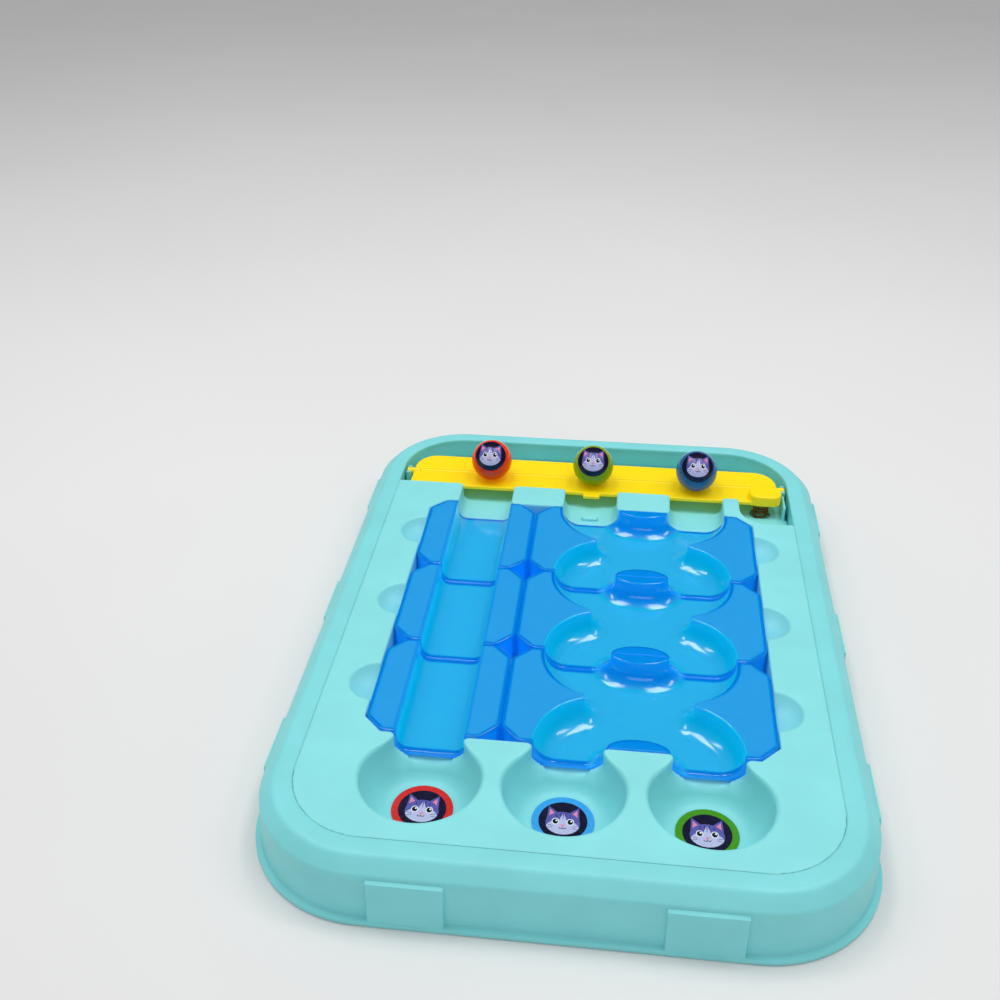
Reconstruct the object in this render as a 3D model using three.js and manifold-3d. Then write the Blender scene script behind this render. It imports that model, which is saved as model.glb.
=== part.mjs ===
// Tilt maze game: a shallow tray with a sprung release lever, three balls, three straight maze tiles,
// three crossing maze tiles and three target cups. Millimetres, +Z up, the lever is at +Y,
// and the origin is on the table under the middle of the case.
import * as THREE from 'three';
import { LoftGeometry } from 'three/addons/geometries/LoftGeometry.js';
import { mergeVertices } from 'three/addons/utils/BufferGeometryUtils.js';
import Module from 'manifold-3d';

const wasm = await Module();
wasm.setup();

// ---------- driving dimensions ----------
const TOP = 26; // deck and rim height above the table
const WALL = 2; // moulded wall thickness
const GAP = 0.3; // clearance between separate pieces

// Seam between the case frame and the deck: a rounded rectangle.
const SEAM = { halfX: 98.1, halfY: 137.55, radius: 30.2 };
const SEAM_STEPS = 7; // facets in each rounded corner

// Case frame section, as distances outwards from the seam.
const RIM_FLAT = 7;
const SKIRT_TOP = 12;
const SKIRT_FOOT = 13.2;
const LIP = { reach: 15.5, height: 2 };
const SHOULDER = { z: TOP - 5, upperZ: TOP - 2.3, upper: 11.1, crown: 9.3, crownZ: TOP - 0.8 };
const FLANGE_Z = 8; // underside of the deck's flange, which carries the frame's inner wall
const TAB = { width: 26, height: 19.5, proud: 1.5, lower: 6, root: 1.6 };
const TAB_X = [-50, 50]; // on the front and back walls
const TAB_Y = [-90, 0, 90]; // on the side walls

// Ball columns and tile rows.
const COLUMNS = [-52, 0, 52];
const ROW_PITCH = 54.3;
const ROWS = [49.7, 49.7 - ROW_PITCH, 49.7 - 2 * ROW_PITCH];
const FIELD = { x: 78, back: ROWS[0] + ROW_PITCH / 2, front: ROWS[2] - ROW_PITCH / 2 };
const TILE = { width: 52, corner: 7.4, wall: 1.8, bottom: TOP - 12.3, floor: TOP - 10 };
const TROUGH = { half: 13, fillet: 4.5, crossFillet: 9 };
const BANK = { arcX: 13.5, arcY: 1.5, radius: 25.5, tipX: 22.775, tipRadius: 1.775, facets: 5 };
const ISLAND = { topX: 12, topY: 5.8, footX: 15.5, footY: 10.8, facets: 9 };
const ISLAND_RISE = [[0, -1], [0.3, 1.2], [0.75, 4], [1, 11]]; // [share of the taper, height above the floor]

// Deck features.
const RECESS = { front: 93.75, floor: TOP - 11, ledgeY: 121, ledge: TOP - 7.2 };
const CHANNEL = { half: 12.9, floor: TOP - 10.3, fillet: 5 };
const CUP = { y: -106.15, rim: 22.2, floorRadius: 12, floor: TOP - 19 };
const NECK_FRONT = -100;
const DIMPLE = { x: 77.8, ball: 12.5, rim: 11 };
const SPRING_BAY = { left: 73, front: 72.55, corner: 12 };
const BOSS = { radius: 3.6, roof: RECESS.floor - 1 };
const CLIP = { width: 7.5, back: 83, front: 80, height: 1.8 };

// Release lever: it turns about an axis along X.
const PIVOT = { y: 109, z: TOP - 3.7, pin: 1.5, reach: 97.2 };
const LEVER = { halfX: 93.4, front: 95.3, back: 124, crease: 110.5, thick: 2, corner: 11 };
const LEVER_Z = { front: TOP - 2.8, crease: TOP - 3.6, back: TOP - 2.6 };
const BUTTON = { left: 78.5, right: 94.3, front: 94, back: 106, height: 5.7, top: TOP + 1 };
const BUTTON_CORNERS = [4, 6, 6, 2.5];
const CATCH = { half: 4.2, front: 92.3, back: 96.3, top: TOP - 3 };
const CRADLE = { inner: 94.7, outer: 97.3, halfY: 3.6, top: TOP - 2.5 };
const SPRING = { x: 85, y: 98.6, radius: 3.6, wire: 0.55, turns: 4, well: 4.7, foot: TOP - 12.8 };

// Balls.
const BALL = { radius: 10.25, y: 106, z: TOP + 7, face: 8, faceTilt: 47 };

// Base, screws and folding legs.
const BASE = { inset: 10.7, thick: 2, boss: 5, bossTop: 4 };
const SCREWS = [[-86, 120], [86, 120], [-89, 22], [89, 22], [-78, -122], [78, -122]];
const RECESS_SCREWS = 2; // the first two stand under the recess, where their bosses are shorter
const SCREW = { head: 3, shank: 1.4, bottom: 0.3, headTop: 1.7, tip: 11.2, pilot: 1.7 };
const CROSS_SLOT = { length: 3.6, width: 0.8, depth: 0.8 };
const LEG = { x: 66, width: 22, length: 64, hingeY: 115, hingeZ: 3.1, barrel: 2.5, thick: 4.5 };
const LEG_PIN = { radius: 1.5, reach: 2.4 };
const LEG_BAY = { side: 0.6, roof: 6, notch: 9, ear: 4 };
const STICKER = { radius: 11.5, thick: 0.4, glue: 0.1 };

// ---------- colours ----------
const shade = (color, roughness, metalness = 0) =>
  new THREE.MeshStandardMaterial({ color, roughness, metalness });
const TEAL = 0x92e8e8;
const YELLOW = 0xffe000;
const TILE_BLUE = 0x2e94e0;
const STEEL = 0xb0b2b6;
const COPPER = 0xb87a48;
const NAVY = 0x1a1838;
const BALL_COLOURS = { red: 0xf04a28, green: 0x8db41e, blue: 0x2f78a8 };
const STICKER_COLOURS = { red: 0xe8302a, blue: 0x3aa8f0, green: 0x4a9a1a };

// ---------- solids ----------
// A closed three.js geometry as a solid that can be joined and cut.
function solid(geometry) {
  const bare = geometry.index ? geometry.toNonIndexed() : geometry.clone();
  bare.deleteAttribute('normal');
  bare.deleteAttribute('uv');
  const merged = mergeVertices(bare, 1e-4);
  const corners = merged.index.array;
  const kept = [];
  for (let i = 0; i < corners.length; i += 3) {
    const [a, b, c] = corners.slice(i, i + 3);
    if (a !== b && b !== c && c !== a) kept.push(a, b, c);
  }
  const build = (triangles) =>
    new wasm.Manifold(
      new wasm.Mesh({
        numProp: 3,
        vertProperties: merged.attributes.position.array,
        triVerts: Uint32Array.from(triangles),
      }),
    );
  const made = build(kept);
  return made.volume() > 0 ? made : build(kept.reverse());
}

const join = (...pieces) => pieces.flat().reduce((a, b) => a.add(b));
const cut = (body, ...tools) => tools.flat().reduce((a, b) => a.subtract(b), body);

// Two distances from the middle, as an ascending pair on the left (-1) or right (1).
const between = (side, near, far) => (side < 0 ? [-far, -near] : [near, far]);

function block(x0, x1, y0, y1, z0, z1) {
  const box = new THREE.BoxGeometry(x1 - x0, y1 - y0, z1 - z0);
  return solid(box.translate((x0 + x1) / 2, (y0 + y1) / 2, (z0 + z1) / 2));
}

// An outline in plan, pushed up from z0 to z1.
function prism(outline, z0, z1) {
  const shape = new THREE.Shape(outline.map(([x, y]) => new THREE.Vector2(x, y)));
  const geometry = new THREE.ExtrudeGeometry(shape, { depth: z1 - z0, bevelEnabled: false });
  return solid(geometry.translate(0, 0, z0));
}

function upright(radius, x, y, z0, z1, facets = 16) {
  const geometry = new THREE.CylinderGeometry(radius, radius, z1 - z0, facets);
  return solid(geometry.rotateX(Math.PI / 2).translate(x, y, (z0 + z1) / 2));
}

function crosswise(radius, x0, x1, y, z, facets = 16) {
  const geometry = new THREE.CylinderGeometry(radius, radius, x1 - x0, facets);
  return solid(geometry.rotateZ(Math.PI / 2).translate((x0 + x1) / 2, y, z));
}

function sphere(radius, x, y, z, facets = 24) {
  return solid(new THREE.SphereGeometry(radius, facets, facets / 2).translate(x, y, z));
}

// A round form about a vertical axis. The profile holds [radius, z] and starts and ends on the axis.
function turned(profile, x, y, facets = 24) {
  const points = profile.map(([r, z]) => new THREE.Vector2(r, z));
  const geometry = new THREE.LatheGeometry(points, facets).rotateX(Math.PI / 2);
  return solid(geometry.scale(1, -1, 1).translate(x, y, 0));
}

// A form whose plan outline changes with height. Each level is [offset, z].
function stack(outlineAt, levels) {
  const sections = levels.map(([offset, z]) =>
    outlineAt(offset).map(([x, y]) => new THREE.Vector3(x, y, z)),
  );
  return solid(new LoftGeometry(sections, { capStart: true, capEnd: true }));
}

function arc(x, y, rx, ry, from, to, steps) {
  return Array.from({ length: steps + 1 }, (_, i) => {
    const t = THREE.MathUtils.degToRad(from + ((to - from) * i) / steps);
    return [x + rx * Math.cos(t), y + ry * Math.sin(t)];
  });
}

// A rectangle with round corners: its corner radii are given from the right back corner, anticlockwise.
function roundedRect(x0, x1, y0, y1, radii, steps = 6) {
  const [rb, lb, lf, rf] = radii;
  return [
    ...arc(x1 - rb, y1 - rb, rb, rb, 0, 90, steps),
    ...arc(x0 + lb, y1 - lb, lb, lb, 90, 180, steps),
    ...arc(x0 + lf, y0 + lf, lf, lf, 180, 270, steps),
    ...arc(x1 - rf, y0 + rf, rf, rf, 270, 360, steps),
  ];
}

// The seam outline, moved outwards by an offset.
function seam(offset) {
  const x = SEAM.halfX + offset;
  const y = SEAM.halfY + offset;
  return roundedRect(-x, x, -y, y, Array(4).fill(SEAM.radius + offset), SEAM_STEPS);
}

// A quarter-round from floor to side wall, as [inset, z] levels, carried up to a height.
function hollowLevels(floor, fillet, height, grow = 0) {
  const steps = 3;
  const rounded = arc(0, floor + fillet, fillet, fillet, 270, 360, steps);
  const levels = rounded.map(([across, z]) => [fillet - across - grow, z - grow]);
  return [...levels, [-grow, height]];
}

// ---------- case frame ----------
function outerFrame() {
  const outside = stack(seam, [
    [LIP.reach, 0],
    [LIP.reach, LIP.height],
    [SKIRT_FOOT, LIP.height + 0.01],
    [SKIRT_TOP, SHOULDER.z],
    [SHOULDER.upper, SHOULDER.upperZ],
    [SHOULDER.crown, SHOULDER.crownZ],
    [RIM_FLAT, TOP],
  ]);
  const opening = stack(seam, [[0, -1], [0, TOP + 1]]);
  const underside = stack(seam, [
    [SKIRT_FOOT - WALL, -1],
    [SKIRT_FOOT - WALL, 0],
    [SKIRT_TOP - WALL, SHOULDER.z - 1],
    [RIM_FLAT - 1, TOP - WALL],
  ]);
  const innerWall = stack(seam, [[WALL, FLANGE_Z + WALL + GAP], [WALL, TOP]]);
  const half = TAB.width / 2;
  const tabs = [-1, 1].flatMap((side) => {
    const across = (wall) => between(side, wall + SKIRT_FOOT - TAB.root, wall + LIP.reach);
    return [
      ...TAB_X.map((x) => block(x - half, x + half, ...across(SEAM.halfY), 0, TAB.height)),
      ...TAB_Y.map((y) => block(...across(SEAM.halfX), y - half, y + half, 0, TAB.height)),
    ];
  });
  const tabHull = stack(seam, [
    [LIP.reach, -1],
    [LIP.reach, LIP.height],
    [SKIRT_FOOT + TAB.proud, TAB.lower],
    [SKIRT_TOP + TAB.proud, TAB.height],
  ]);
  const padded = join(outside, join(...tabs).intersect(tabHull));
  return cut(padded, opening, cut(underside, innerWall));
}

// ---------- maze tiles ----------
// Left bank of a crossing tile, from the front edge to the back edge, as an outline moved in by an inset.
function crossBank(inset) {
  const { arcX, arcY, radius, tipX, tipRadius, facets } = BANK;
  const end = ROW_PITCH / 2;
  const sweep = THREE.MathUtils.radToDeg(Math.atan2(end - arcY, arcX - tipX));
  const r = radius - inset;
  const lower = arc(-arcX, arcY - end, r, r, 180, sweep, facets);
  const tip = arc(-tipX, 0, tipRadius + inset, tipRadius + inset, sweep - 180, 180 - sweep, 4);
  const upper = lower.map(([x, y]) => [x, -y]).reverse();
  return [[-arcX - r, -end - 1], ...lower, ...tip.slice(1, -1), ...upper, [-arcX - r, end + 1]];
}

function crossTrough(grow) {
  const outlineAt = (offset) => {
    const left = crossBank(offset);
    const right = left.map(([x, y]) => [-x, y]).reverse();
    return [...right, ...left].reverse();
  };
  const space = stack(outlineAt, hollowLevels(TILE.floor, TROUGH.crossFillet, TOP + 1, grow));
  const islands = [-1, 1].map((side) => {
    const edge = side * (ROW_PITCH / 2);
    const ring = (t) =>
      arc(
        0, edge,
        THREE.MathUtils.lerp(ISLAND.footX, ISLAND.topX, t) - grow,
        THREE.MathUtils.lerp(ISLAND.footY, ISLAND.topY, t) - grow,
        0, 360, 2 * ISLAND.facets,
      ).slice(0, -1);
    return stack(ring, ISLAND_RISE.map(([share, height]) => [share, TILE.floor + height - grow]));
  });
  return cut(space, islands);
}

function straightTrough(grow) {
  const end = ROW_PITCH / 2 + 1;
  const outlineAt = (offset) => {
    const x = TROUGH.half - offset;
    return [[-x, -end], [x, -end], [x, end], [-x, end]];
  };
  return stack(outlineAt, hollowLevels(TILE.floor, TROUGH.fillet, TOP + 1, grow));
}

function tilePlan(width, inset) {
  const x = width / 2 - GAP / 2 - inset;
  const y = ROW_PITCH / 2 - GAP / 2 - inset;
  const c = TILE.corner - 0.6 * inset;
  return [
    [x, y - c], [x - c, y], [c - x, y], [-x, y - c],
    [-x, c - y], [c - x, -y], [x - c, -y], [x, c - y],
  ];
}

function mazeTile(width, trough) {
  const body = prism(tilePlan(width, 0), TILE.bottom, TOP);
  const inside = prism(tilePlan(width, TILE.wall), TILE.bottom - 1, TOP - TILE.wall);
  const hollow = cut(inside, trough(TILE.wall));
  return cut(body, trough(0), hollow);
}

// ---------- play deck ----------
function cupProfile(grow) {
  const across = CUP.rim - CUP.floorRadius;
  const wall = arc(CUP.floorRadius, TOP, across + grow, TOP - CUP.floor + grow, 270, 360, 4);
  return [[0, CUP.floor - grow], ...wall, [CUP.rim + grow, TOP + 1], [0, TOP + 1]];
}

// The hollows that are pressed into the deck. With grow, the same forms one wall larger all round.
function deckHollows(grow) {
  const top = TOP + 1;
  const hollows = [];
  const corner = TILE.corner + grow / 2;
  const x = FIELD.x + grow;
  const [back, front] = [FIELD.back + grow, FIELD.front - grow];
  const field = [
    [x, back - corner], [x - corner, back], [corner - x, back], [-x, back - corner],
    [-x, front + corner], [corner - x, front], [x - corner, front], [x, front + corner],
  ];
  hollows.push(prism(field, TILE.bottom - GAP - grow, top));
  for (const column of COLUMNS) {
    const run = (y0, y1) => (offset) => [
      [column - CHANNEL.half + offset, y0], [column + CHANNEL.half - offset, y0],
      [column + CHANNEL.half - offset, y1], [column - CHANNEL.half + offset, y1],
    ];
    const levels = hollowLevels(CHANNEL.floor, CHANNEL.fillet, top, grow);
    hollows.push(stack(run(FIELD.back - 1, RECESS.front + 1), levels));
    hollows.push(stack(run(NECK_FRONT, FIELD.front + 1), levels));
    hollows.push(turned(cupProfile(grow), column, CUP.y));
  }
  const dimpleZ = TOP + Math.sqrt(DIMPLE.ball ** 2 - DIMPLE.rim ** 2);
  for (const row of ROWS) {
    for (const side of [-1, 1]) {
      hollows.push(sphere(DIMPLE.ball + grow, side * DIMPLE.x, row, dimpleZ, 16));
    }
  }
  const inCase = (z0) => stack(seam, [[1, z0], [1, top]]);
  const deep = block(-100, 100, RECESS.front - grow, RECESS.ledgeY + grow, 0, top);
  const shallow = block(-100, 100, RECESS.ledgeY - grow, 140, 0, top);
  hollows.push(inCase(RECESS.floor - grow).intersect(deep));
  hollows.push(inCase(RECESS.ledge - grow).intersect(shallow));
  const bay = roundedRect(
    SPRING_BAY.left - grow, 101, SPRING_BAY.front - grow, RECESS.front + 1, [1, 1, SPRING_BAY.corner, 1],
  );
  hollows.push(inCase(RECESS.floor - grow).intersect(prism(bay, 0, top)));
  hollows.push(upright(SPRING.well + grow, SPRING.x, SPRING.y, SPRING.foot - grow, RECESS.floor + 0.5));
  return hollows;
}

function playDeck() {
  const outer = -GAP;
  const inner = outer - WALL;
  const plate = stack(seam, [[outer, TOP - WALL], [outer, TOP]]);
  const rim = cut(
    stack(seam, [[outer, FLANGE_Z], [outer, TOP - 1]]),
    stack(seam, [[inner, 0], [inner, TOP]]),
  );
  const flange = cut(
    stack(seam, [[WALL - GAP, FLANGE_Z], [WALL - GAP, FLANGE_Z + WALL]]),
    stack(seam, [[outer - 1, 0], [outer - 1, TOP]]),
  );
  const envelope = stack(seam, [[outer, 0], [outer, TOP]]);
  const shells = join(...deckHollows(WALL)).intersect(envelope);
  const bosses = SCREWS.map(([x, y], i) => {
    const roof = i < RECESS_SCREWS ? BOSS.roof : TOP - 1;
    return upright(BOSS.radius, x, y, BASE.bossTop + GAP, roof);
  });
  const pilots = SCREWS.map(([x, y]) => upright(SCREW.pilot, x, y, 0, BOSS.roof - 1.5, 12));
  const shaped = cut(join(plate, rim, flange, shells, bosses), deckHollows(0));
  const cradles = [-1, 1].map((side) => {
    const [near, far] = between(side, CRADLE.inner, CRADLE.outer);
    const post = block(
      near, far, PIVOT.y - CRADLE.halfY, PIVOT.y + CRADLE.halfY, RECESS.floor - 0.5, CRADLE.top,
    );
    const slot = join(
      crosswise(PIVOT.pin + GAP, near - 1, far + 1, PIVOT.y, PIVOT.z),
      block(near - 1, far + 1, PIVOT.y - PIVOT.pin - GAP, PIVOT.y + PIVOT.pin + GAP, PIVOT.z, TOP),
    );
    return cut(post, slot);
  });
  const clip = block(
    -CLIP.width / 2, CLIP.width / 2, CLIP.front, CLIP.back, CHANNEL.floor - 0.5, CHANNEL.floor + CLIP.height,
  );
  return cut(join(shaped, join(...cradles).intersect(envelope), clip), pilots);
}

// ---------- base cover, screws and legs ----------
function baseCover() {
  const plate = stack(seam, [[BASE.inset, 0], [BASE.inset, BASE.thick]]);
  const bosses = SCREWS.map(([x, y]) => upright(BASE.boss, x, y, 0.5, BASE.bossTop));
  const holes = SCREWS.flatMap(([x, y]) => [
    upright(SCREW.head + GAP, x, y, -1, SCREW.headTop + GAP),
    upright(SCREW.pilot, x, y, 0, BASE.bossTop + 1, 12),
  ]);
  const bays = [];
  const shells = [];
  for (const side of [-1, 1]) {
    const x = side * LEG.x;
    const half = LEG.width / 2 + LEG_BAY.side;
    const back = LEG.hingeY + LEG.barrel + 0.5;
    const tip = LEG.hingeY - LEG.length - LEG_BAY.side;
    const pin = half + LEG_PIN.reach;
    const ear = half + LEG_BAY.ear;
    const shellTop = LEG_BAY.roof + WALL;
    bays.push(block(x - half, x + half, tip, back, -1, LEG_BAY.roof));
    bays.push(upright(LEG_BAY.notch, x, tip + 2, -1, LEG_BAY.roof));
    bays.push(crosswise(LEG_PIN.radius + GAP, x - pin, x + pin, LEG.hingeY, LEG.hingeZ));
    shells.push(block(x - half - WALL, x + half + WALL, tip - WALL, back + WALL, 0.5, shellTop));
    shells.push(upright(LEG_BAY.notch + WALL, x, tip + 2, 0.5, shellTop));
    shells.push(block(x - ear, x + ear, LEG.hingeY - LEG_BAY.ear, back + WALL, 0.5, shellTop));
  }
  return cut(join(plate, bosses, shells), holes, bays);
}

function screw([x, y]) {
  const head = upright(SCREW.head, x, y, SCREW.bottom, SCREW.headTop);
  const shank = upright(SCREW.shank, x, y, SCREW.headTop - 0.5, SCREW.tip, 12);
  const { length, width, depth } = CROSS_SLOT;
  const socket = [0, 90].map((turn) => {
    const bar = new THREE.BoxGeometry(length, width, 2 * depth).rotateZ(THREE.MathUtils.degToRad(turn));
    return solid(bar.translate(x, y, SCREW.bottom));
  });
  return cut(join(head, shank), socket);
}

// A leg folded flat, with its hinge axis through the origin.
function leg() {
  const low = -LEG.barrel;
  const plan = roundedRect(-LEG.width / 2, LEG.width / 2, -LEG.length, 0, [0.5, 0.5, 8, 8]);
  const plate = prism(plan, low, low + LEG.thick);
  const barrel = crosswise(LEG.barrel, -LEG.width / 2, LEG.width / 2, 0, 0);
  const reach = LEG.width / 2 + LEG_PIN.reach;
  const pins = crosswise(LEG_PIN.radius, -reach, reach, 0, 0, 12);
  return join(plate, barrel, pins);
}

// ---------- lever, spring and balls ----------
function releaseLever() {
  const { front, crease, back, halfX, thick, corner } = LEVER;
  const section = [
    [front, LEVER_Z.front], [crease, LEVER_Z.crease], [back, LEVER_Z.back],
    [back, LEVER_Z.back - thick], [crease, LEVER_Z.crease - thick], [front, LEVER_Z.front - thick],
  ];
  const shape = new THREE.Shape(section.map(([y, z]) => new THREE.Vector2(y, z)));
  const bar = new THREE.ExtrudeGeometry(shape, { depth: 2 * halfX, bevelEnabled: false });
  bar.applyMatrix4(new THREE.Matrix4().set(0, 0, 1, -halfX, 1, 0, 0, 0, 0, 1, 0, 0, 0, 0, 0, 1));
  const plan = prism(roundedRect(-halfX, halfX, front, back, [corner, corner, 1.5, 1.5]), 0, TOP + 2);
  const plate = solid(bar).intersect(plan);
  const buttonPlan = roundedRect(BUTTON.left, BUTTON.right, BUTTON.front, BUTTON.back, BUTTON_CORNERS);
  const button = prism(buttonPlan, BUTTON.top - BUTTON.height, BUTTON.top);
  const catchTab = block(-CATCH.half, CATCH.half, CATCH.front, CATCH.back, LEVER_Z.front - thick, CATCH.top);
  const pins = [-1, 1].map((side) =>
    crosswise(PIVOT.pin, ...between(side, halfX - 2, PIVOT.reach), PIVOT.y, PIVOT.z, 14),
  );
  const dimples = COLUMNS.map((x) => sphere(BALL.radius + GAP, x, BALL.y, BALL.z));
  return cut(join(plate, button, catchTab, pins), dimples);
}

// A coil spring with its ends closed, standing in the deck's well under the thumb button.
class Helix extends THREE.Curve {
  constructor(radius, height, turns) {
    super();
    Object.assign(this, { radius, height, turns });
  }

  getPoint(t, target = new THREE.Vector3()) {
    const angle = 2 * Math.PI * this.turns * t;
    const rise = THREE.MathUtils.smoothstep(t, 0.02, 0.98) * 0.25 + t * 0.75;
    return target.set(this.radius * Math.cos(angle), this.radius * Math.sin(angle), this.height * rise);
  }
}

function returnSpring() {
  const { radius, wire, turns, foot, x, y } = SPRING;
  const height = BUTTON.top - BUTTON.height - foot - 2 * wire - 2 * GAP;
  const section = new THREE.Shape().absarc(0, 0, wire, 0, 2 * Math.PI);
  const geometry = new THREE.ExtrudeGeometry(section, {
    steps: 12 * turns,
    curveSegments: 3,
    bevelEnabled: false,
    extrudePath: new Helix(radius, height, turns),
  });
  return solid(geometry.translate(x, y, foot + wire + GAP));
}

// A ball about the origin with its printed face cap, which looks forwards and up.
function ball() {
  const depth = Math.sqrt(BALL.radius ** 2 - BALL.face ** 2);
  const whole = sphere(BALL.radius, 0, 0, 0, 20);
  const tilt = THREE.MathUtils.degToRad(90 - BALL.faceTilt);
  const above = (distance) => {
    const box = new THREE.BoxGeometry(30, 30, 20).translate(0, 0, distance + 10);
    return solid(box.rotateX(tilt));
  };
  return { shell: cut(whole, above(depth)), face: whole.intersect(above(depth + GAP)) };
}

// ---------- assembly ----------
const game = new THREE.Group();

function place(name, body, material, x = 0, y = 0, z = 0) {
  const { vertProperties, triVerts } = body.getMesh();
  const geometry = new THREE.BufferGeometry();
  geometry.setAttribute('position', new THREE.BufferAttribute(vertProperties, 3));
  geometry.setIndex(new THREE.BufferAttribute(triVerts, 1));
  geometry.computeVertexNormals();
  const mesh = new THREE.Mesh(geometry, material);
  mesh.name = name;
  mesh.position.set(x, y, z);
  game.add(mesh);
}

place('outer_frame', outerFrame(), shade(TEAL, 0.45));
place('play_deck', playDeck(), shade(TEAL, 0.45));
place('base_cover', baseCover(), shade(TEAL, 0.5));
SCREWS.forEach((spot, i) => place(`base_screw_${i + 1}`, screw(spot), shade(STEEL, 0.35, 1)));

place('release_lever', releaseLever(), shade(YELLOW, 0.4));
place('return_spring', returnSpring(), shade(COPPER, 0.35, 1));

Object.entries(BALL_COLOURS).forEach(([colour, paint], i) => {
  const at = [COLUMNS[i], BALL.y, BALL.z];
  const { shell, face } = ball();
  place(`ball_${colour}_shell`, shell, shade(paint, 0.2), ...at);
  place(`ball_${colour}_face`, face, shade(NAVY, 0.25), ...at);
});

ROWS.forEach((row, i) => {
  const straight = mazeTile(TILE.width, straightTrough);
  const crossing = mazeTile(2 * TILE.width, crossTrough);
  place(`straight_tile_${i + 1}`, straight, shade(TILE_BLUE, 0.25), COLUMNS[0], row);
  place(`cross_tile_${i + 1}`, crossing, shade(TILE_BLUE, 0.25), TILE.width / 2, row);
});

Object.entries(STICKER_COLOURS).forEach(([colour, ink], i) => {
  const foot = CUP.floor + STICKER.glue;
  const disc = upright(STICKER.radius, COLUMNS[i], CUP.y, foot, foot + STICKER.thick, 24);
  place(`sticker_${colour}`, disc, shade(ink, 0.3));
});

place('leg_left', leg(), shade(YELLOW, 0.4), -LEG.x, LEG.hingeY, LEG.hingeZ);
place('leg_right', leg(), shade(YELLOW, 0.4), LEG.x, LEG.hingeY, LEG.hingeZ);

export default game;
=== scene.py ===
"""The looks of the tilt maze game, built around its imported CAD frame.

Lengths are in millimetres in the CAD frame until a mesh is made, and in metres from then on.
The deck, tiles, lever and legs are distance fields, negative inside the plastic, skinned with fine meshes.
The frame is a section swept round the case."""
import math

import bmesh
import bpy
import numpy as np
from mathutils import Matrix, Vector


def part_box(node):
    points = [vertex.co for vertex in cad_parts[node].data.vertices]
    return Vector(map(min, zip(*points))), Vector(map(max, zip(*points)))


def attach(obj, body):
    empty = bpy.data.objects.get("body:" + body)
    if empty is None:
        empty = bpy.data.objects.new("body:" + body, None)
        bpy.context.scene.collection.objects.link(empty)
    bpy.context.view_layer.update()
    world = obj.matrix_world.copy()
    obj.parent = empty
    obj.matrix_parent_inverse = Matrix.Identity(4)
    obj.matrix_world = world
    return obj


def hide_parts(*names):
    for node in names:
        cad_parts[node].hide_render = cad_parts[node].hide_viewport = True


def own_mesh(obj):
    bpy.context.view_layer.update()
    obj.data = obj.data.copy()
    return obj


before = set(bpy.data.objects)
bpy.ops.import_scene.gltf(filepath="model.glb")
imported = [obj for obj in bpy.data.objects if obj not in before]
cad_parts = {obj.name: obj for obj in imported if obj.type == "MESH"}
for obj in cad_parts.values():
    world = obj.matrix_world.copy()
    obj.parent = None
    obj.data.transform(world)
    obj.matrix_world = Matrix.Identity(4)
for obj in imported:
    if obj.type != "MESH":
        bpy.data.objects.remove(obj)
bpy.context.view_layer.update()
MM = 0.001


# ---------- sizes, worked out from the frame ----------
def node_box(name):
    """The low and high corners of a CAD node, in millimetres."""
    low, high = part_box(name)
    return np.array(low) / MM, np.array(high) / MM


frame_high = node_box("outer_frame")[1]
tile_low = node_box("cross_tile_1")[0]
tile_rows = [float(np.mean([b[1] for b in node_box(f"straight_tile_{i}")])) for i in (1, 2, 3)]

TOP = float(frame_high[2])
WALL = 2.0
GAP = 0.3
SEAM_RADIUS = 30.2
LIP_REACH = 15.5
SEAM_X = float(frame_high[0]) - LIP_REACH
SEAM_Y = float(frame_high[1]) - LIP_REACH
PITCH = 52.0
COLUMNS = (-PITCH, 0.0, PITCH)
ROW_PITCH = tile_rows[0] - tile_rows[1]
FIELD_X = 1.5 * PITCH
FIELD_BACK = tile_rows[0] + ROW_PITCH / 2
FIELD_FRONT = tile_rows[2] - ROW_PITCH / 2
TILE_BOTTOM = float(tile_low[2])
TILE_FLOOR = TOP - 10
TILE_CORNER = 7.4
TILE_WALL = 1.8
TILE_JOINT = 0.12
RECESS_FRONT = 93.75
RECESS_FLOOR = TOP - 11
LEDGE_Y = 121.0
LEDGE_Z = TOP - 7.2
CHANNEL_HALF = 12.9
CHANNEL_FLOOR = TOP - 10.3
CUP_Y = -106.15
CUP_RIM = 22.2
CUP_FLOOR_RADIUS = 12.0
CUP_DEPTH = 19.0
PIVOT_Y = 109.0
PIVOT_Z = TOP - 3.7
BALL_RADIUS = 10.25
BALL_Y = 106.0
BALL_Z = TOP + 7
FACE_RADIUS = 8.0
FACE_TILT = 47.0
SPRING_X = 85.0
SPRING_Y = 98.6


# ---------- distance fields ----------
def round_max(a, b, r):
    """Both at once, with the convex edge between them rounded to radius r."""
    return np.minimum(np.maximum(a, b), -r) + np.hypot(np.maximum(a + r, 0), np.maximum(b + r, 0))


def round_min(a, b, r):
    """Either of the two, with the hollow edge between them filled to radius r."""
    return -round_max(-a, -b, r)


def smooth_step(v, low, high):
    t = np.clip((v - low) / (high - low), 0, 1)
    return t * t * (3 - 2 * t)


def rounded_rect(x, y, half_x, half_y, r):
    across = np.abs(x) - (half_x - r)
    along = np.abs(y) - (half_y - r)
    outside = np.hypot(np.maximum(across, 0), np.maximum(along, 0))
    return outside + np.minimum(np.maximum(across, along), 0) - r


def seam_distance(x, y):
    """Plan distance outwards from the seam between deck and frame."""
    return rounded_rect(x, y, SEAM_X, SEAM_Y, SEAM_RADIUS)


def span(v, low, high):
    """Distance outside a range, negative within it."""
    return np.maximum(low - v, v - high)


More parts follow.
